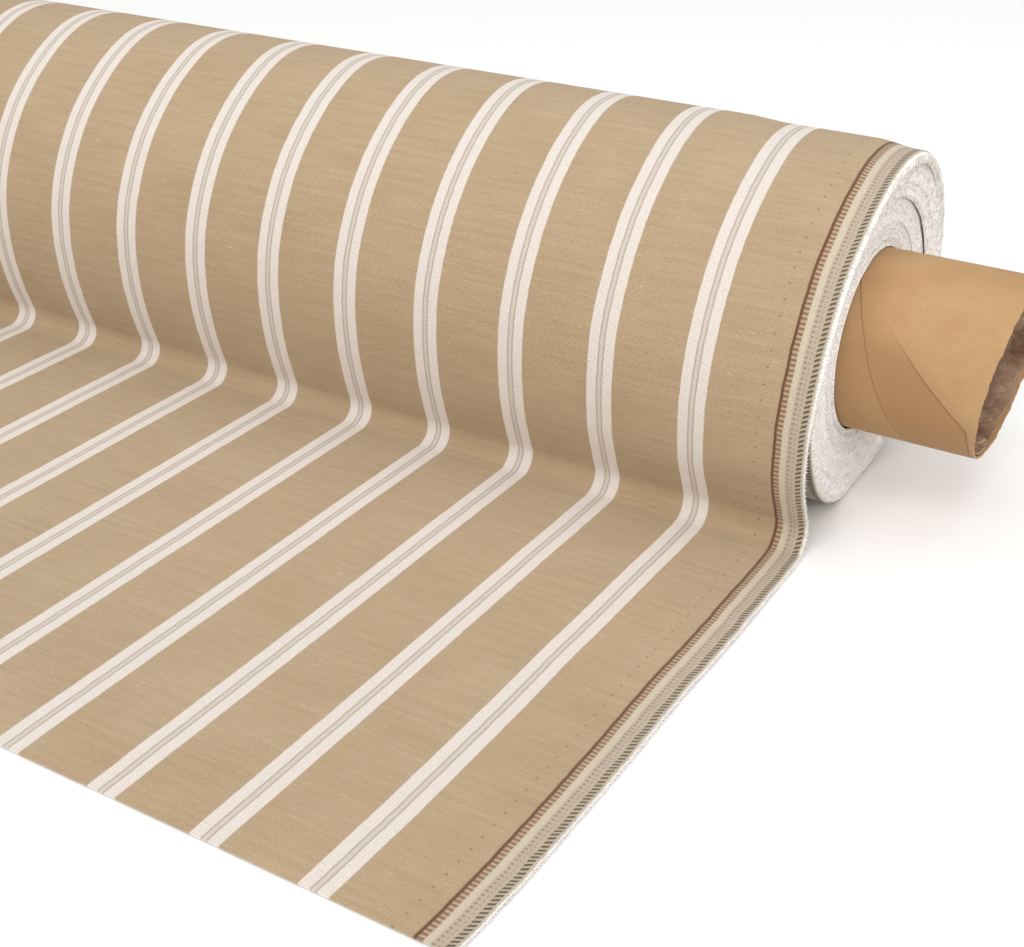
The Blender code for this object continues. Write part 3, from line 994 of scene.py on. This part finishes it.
way, degrees, fromFold = looseWay(*meshLay["looseStations"])
along = arcLength(way)
stations = (way, faceNormals(way), along, degrees, fromFold)
outerStop = int(np.searchsorted(fromFold, meshLay["outerTurns"]))
outerRows = tuple(part[:outerStop + 1] for part in stations)
freeCloth = webSheet("freeEndAndOuterTurn", outerRows, edgeColumns(*meshLay["freeColumns"]), cotton)
innerRows = tuple(np.concatenate([part[outerStop + 1:-1:meshLay["innerSkip"]], part[-1:]])
                  for part in stations)
innerCloth = webSheet("looseInnerTurns", innerRows, edgeColumns(*meshLay["innerColumns"]), cotton)
woundCloth = woundSheet("tightTurns", meshLay["tightStations"], edgeColumns(*meshLay["tightColumns"]), cotton)

fringes = {"free": [], "inner": [], "wound": []}
outer, total = along[outerStop], along[-1]
freeThreads = (fringeLay["pitch"], fringeLay["radius"])
innerThreads = (fringeLay["innerPitch"], fringeLay["innerRadius"])
for side, end, seed in ((1, "Right", 40), (-1, "Left", 60)):
    edge = (stations, side, 0.0, outer)
    fringes["free"] += [webFringe("freeFringe" + end, *edge, *freeThreads, seed, freeWeftEnds),
                        webLip("freeLip" + end, *edge, freeMattedEnds)]
    edge = (stations, side, outer + 0.001, total)
    fringes["inner"] += [webFringe("looseFringe" + end, *edge, *innerThreads, seed + 1, paintedLightWeftEnds),
                         webLip("looseLip" + end, *edge, paintedLightMattedEnds)]
    fringes["wound"] += [woundFringe("tightFringe" + end, side, *innerThreads, seed + 2, paintedLightWeftEnds),
                         woundLip("tightLip" + end, side, paintedLightMattedEnds)]
print("stage 4: loose weft ends")

innerRadius = tubeLay["boreRadius"]
for seed, (name, node, slotName, thickness, *ends) in enumerate(tubeLay["plies"]):
    outerRadius = innerRadius + thickness
    ply = tubeSleeve(name, innerRadius, outerRadius, *ends, seed + 5, papers[slotName])
    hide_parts(node)
    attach(ply, "roll")
    innerRadius = outerRadius + tubeLay["glueGap"]
tape = frame["nodes"]["start_tape"]
tape.data.materials.clear()
tape.data.materials.append(makePaperTape("paperTape"))
print("stage 5: tube")

for piece in [freeCloth, innerCloth, *fringes["free"], *fringes["inner"]]:
    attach(piece, "laid_cloth")
for piece in [woundCloth, *fringes["wound"]]:
    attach(piece, "roll")
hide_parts("cloth_tail", "loose_turns")
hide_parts("wound_cloth")


# floor, light and camera
studio = {
    "floorTone": (0.93, 0.93, 0.93),
    "floorDeep": 0.99,  # the floor's tone varies down to this share
    "floorReach": 30.0,
    "floorLevel": -0.0005,
    "worldStrength": 0.52,
    "lamps": (("front", (0.9, -1.9, 1.9), (0.45, 0.0, 0.05), 2.2, 50.0, (1.0, 0.99, 0.975)),
              ("overhead", (0.3, 0.5, 2.2), (0.35, 0.1, 0.05), 2.2, 14.0, (1.0, 0.99, 0.98)),
              ("side", (2.6, 0.1, 0.9), (0.6, 0.1, 0.05), 1.6, 18.0, (1.0, 0.995, 0.99))),
    "cameraPlace": (0.8410916, -0.3782472, 0.268),
    "cameraYaw": 31.6476,
    "cameraPitch": 28.5628,
    "cameraLens": 56.894,
}


def makeFloor():
    material, tree, shader = newMaterial("paleFloor")
    x, y, z = split(tree.nodes.new("ShaderNodeTexCoord").outputs["Object"])
    soft = grain((x, 30.0), (y, 30.0), z)
    deep = tuple(studio["floorDeep"] * c for c in studio["floorTone"])
    tree.links.new(paint(soft, studio["floorTone"], deep), shader.inputs["Base Color"])
    shader.inputs["Roughness"].default_value = 0.9
    shader.inputs["Specular IOR Level"].default_value = 0.1
    reach, level = studio["floorReach"], studio["floorLevel"]
    corners = np.array([(-reach, -reach), (reach, -reach), (reach, reach), (-reach, reach)])
    points = np.column_stack([corners, np.full(4, level)])
    buildPiece("floor", material, points, np.array([[0, 1, 2, 3]]), corners)


def aim(thing, target):
    place = np.array(thing.location)
    direction = np.array(target, float) - place
    thing.rotation_mode = "QUATERNION"
    thing.rotation_quaternion = mathutils.Vector(direction).to_track_quat("-Z", "Y")


def makeStudio():
    makeFloor()
    world = bpy.data.worlds.new("studio")
    world.use_nodes = True
    world.node_tree.nodes["Background"].inputs[0].default_value = (1, 1, 1, 1)
    world.node_tree.nodes["Background"].inputs[1].default_value = studio["worldStrength"]
    bpy.context.scene.world = world
    for name, place, target, size, power, tone in studio["lamps"]:
        lamp = bpy.data.lights.new(name, "AREA")
        lamp.shape, lamp.size, lamp.energy, lamp.color = "SQUARE", size, power, tone
        thing = bpy.data.objects.new(name, lamp)
        bpy.context.scene.collection.objects.link(thing)
        thing.location = place
        aim(thing, target)
    lens = bpy.data.cameras.new("camera")
    lens.lens, lens.sensor_width = studio["cameraLens"], 36.0
    lens.clip_start, lens.clip_end = 0.01, 100.0
    camera = bpy.data.objects.new("camera", lens)
    bpy.context.scene.collection.objects.link(camera)
    camera.location = studio["cameraPlace"]
    yaw, pitch = math.radians(studio["cameraYaw"]), math.radians(studio["cameraPitch"])
    ahead = np.array([-math.sin(yaw) * math.cos(pitch), math.cos(yaw) * math.cos(pitch), -math.sin(pitch)])
    aim(camera, np.array(studio["cameraPlace"]) + ahead)
    bpy.context.scene.camera = camera
    bpy.context.scene.view_settings.view_transform = "Standard"


makeStudio()
bpy.context.view_layer.update()
